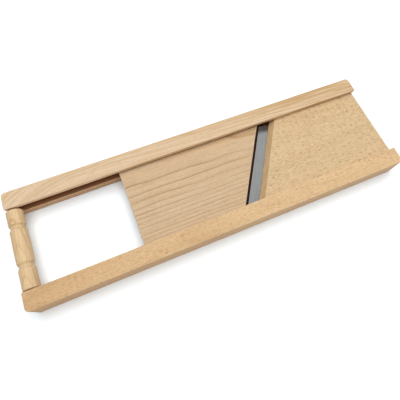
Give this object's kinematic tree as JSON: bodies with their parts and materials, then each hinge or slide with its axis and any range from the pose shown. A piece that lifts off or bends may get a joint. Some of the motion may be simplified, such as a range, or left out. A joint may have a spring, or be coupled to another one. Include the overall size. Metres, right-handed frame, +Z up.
{
  "type": "cabbage cutter",
  "caption": "Flat wooden cabbage cutter: grooved rails hold two plates and a skewed steel blade between them, with a turned handle across one end.",
  "frame": {"origin": "middle of the underside, on the surface that the rails stand on", "axes": "+X along the rails away from the handle, +Y across the board to the far rail, +Z up"},
  "size_m": [0.4018, 0.118, 0.025],
  "materials": {
    "near_rail_beech": "planed, unvarnished",
    "far_rail_beech": "planed, unvarnished",
    "front_plate_beech": "planed, unvarnished",
    "rear_plate_beech": "planed, unvarnished",
    "handle_beech": "turned, unvarnished",
    "blade_steel": "rolled, ground edge",
    "screw_steel": "bright zinc",
    "brad_steel": "bright"
  },
  "bodies": {
    "root": {"near_rail": "near_rail_beech", "far_rail": "far_rail_beech", "front_plate": "front_plate_beech", "rear_plate": "rear_plate_beech", "blade": "blade_steel", "handle": "handle_beech", "blade_screws": "screw_steel", "plate_brads": "brad_steel"}
  },
  "joints": []
}
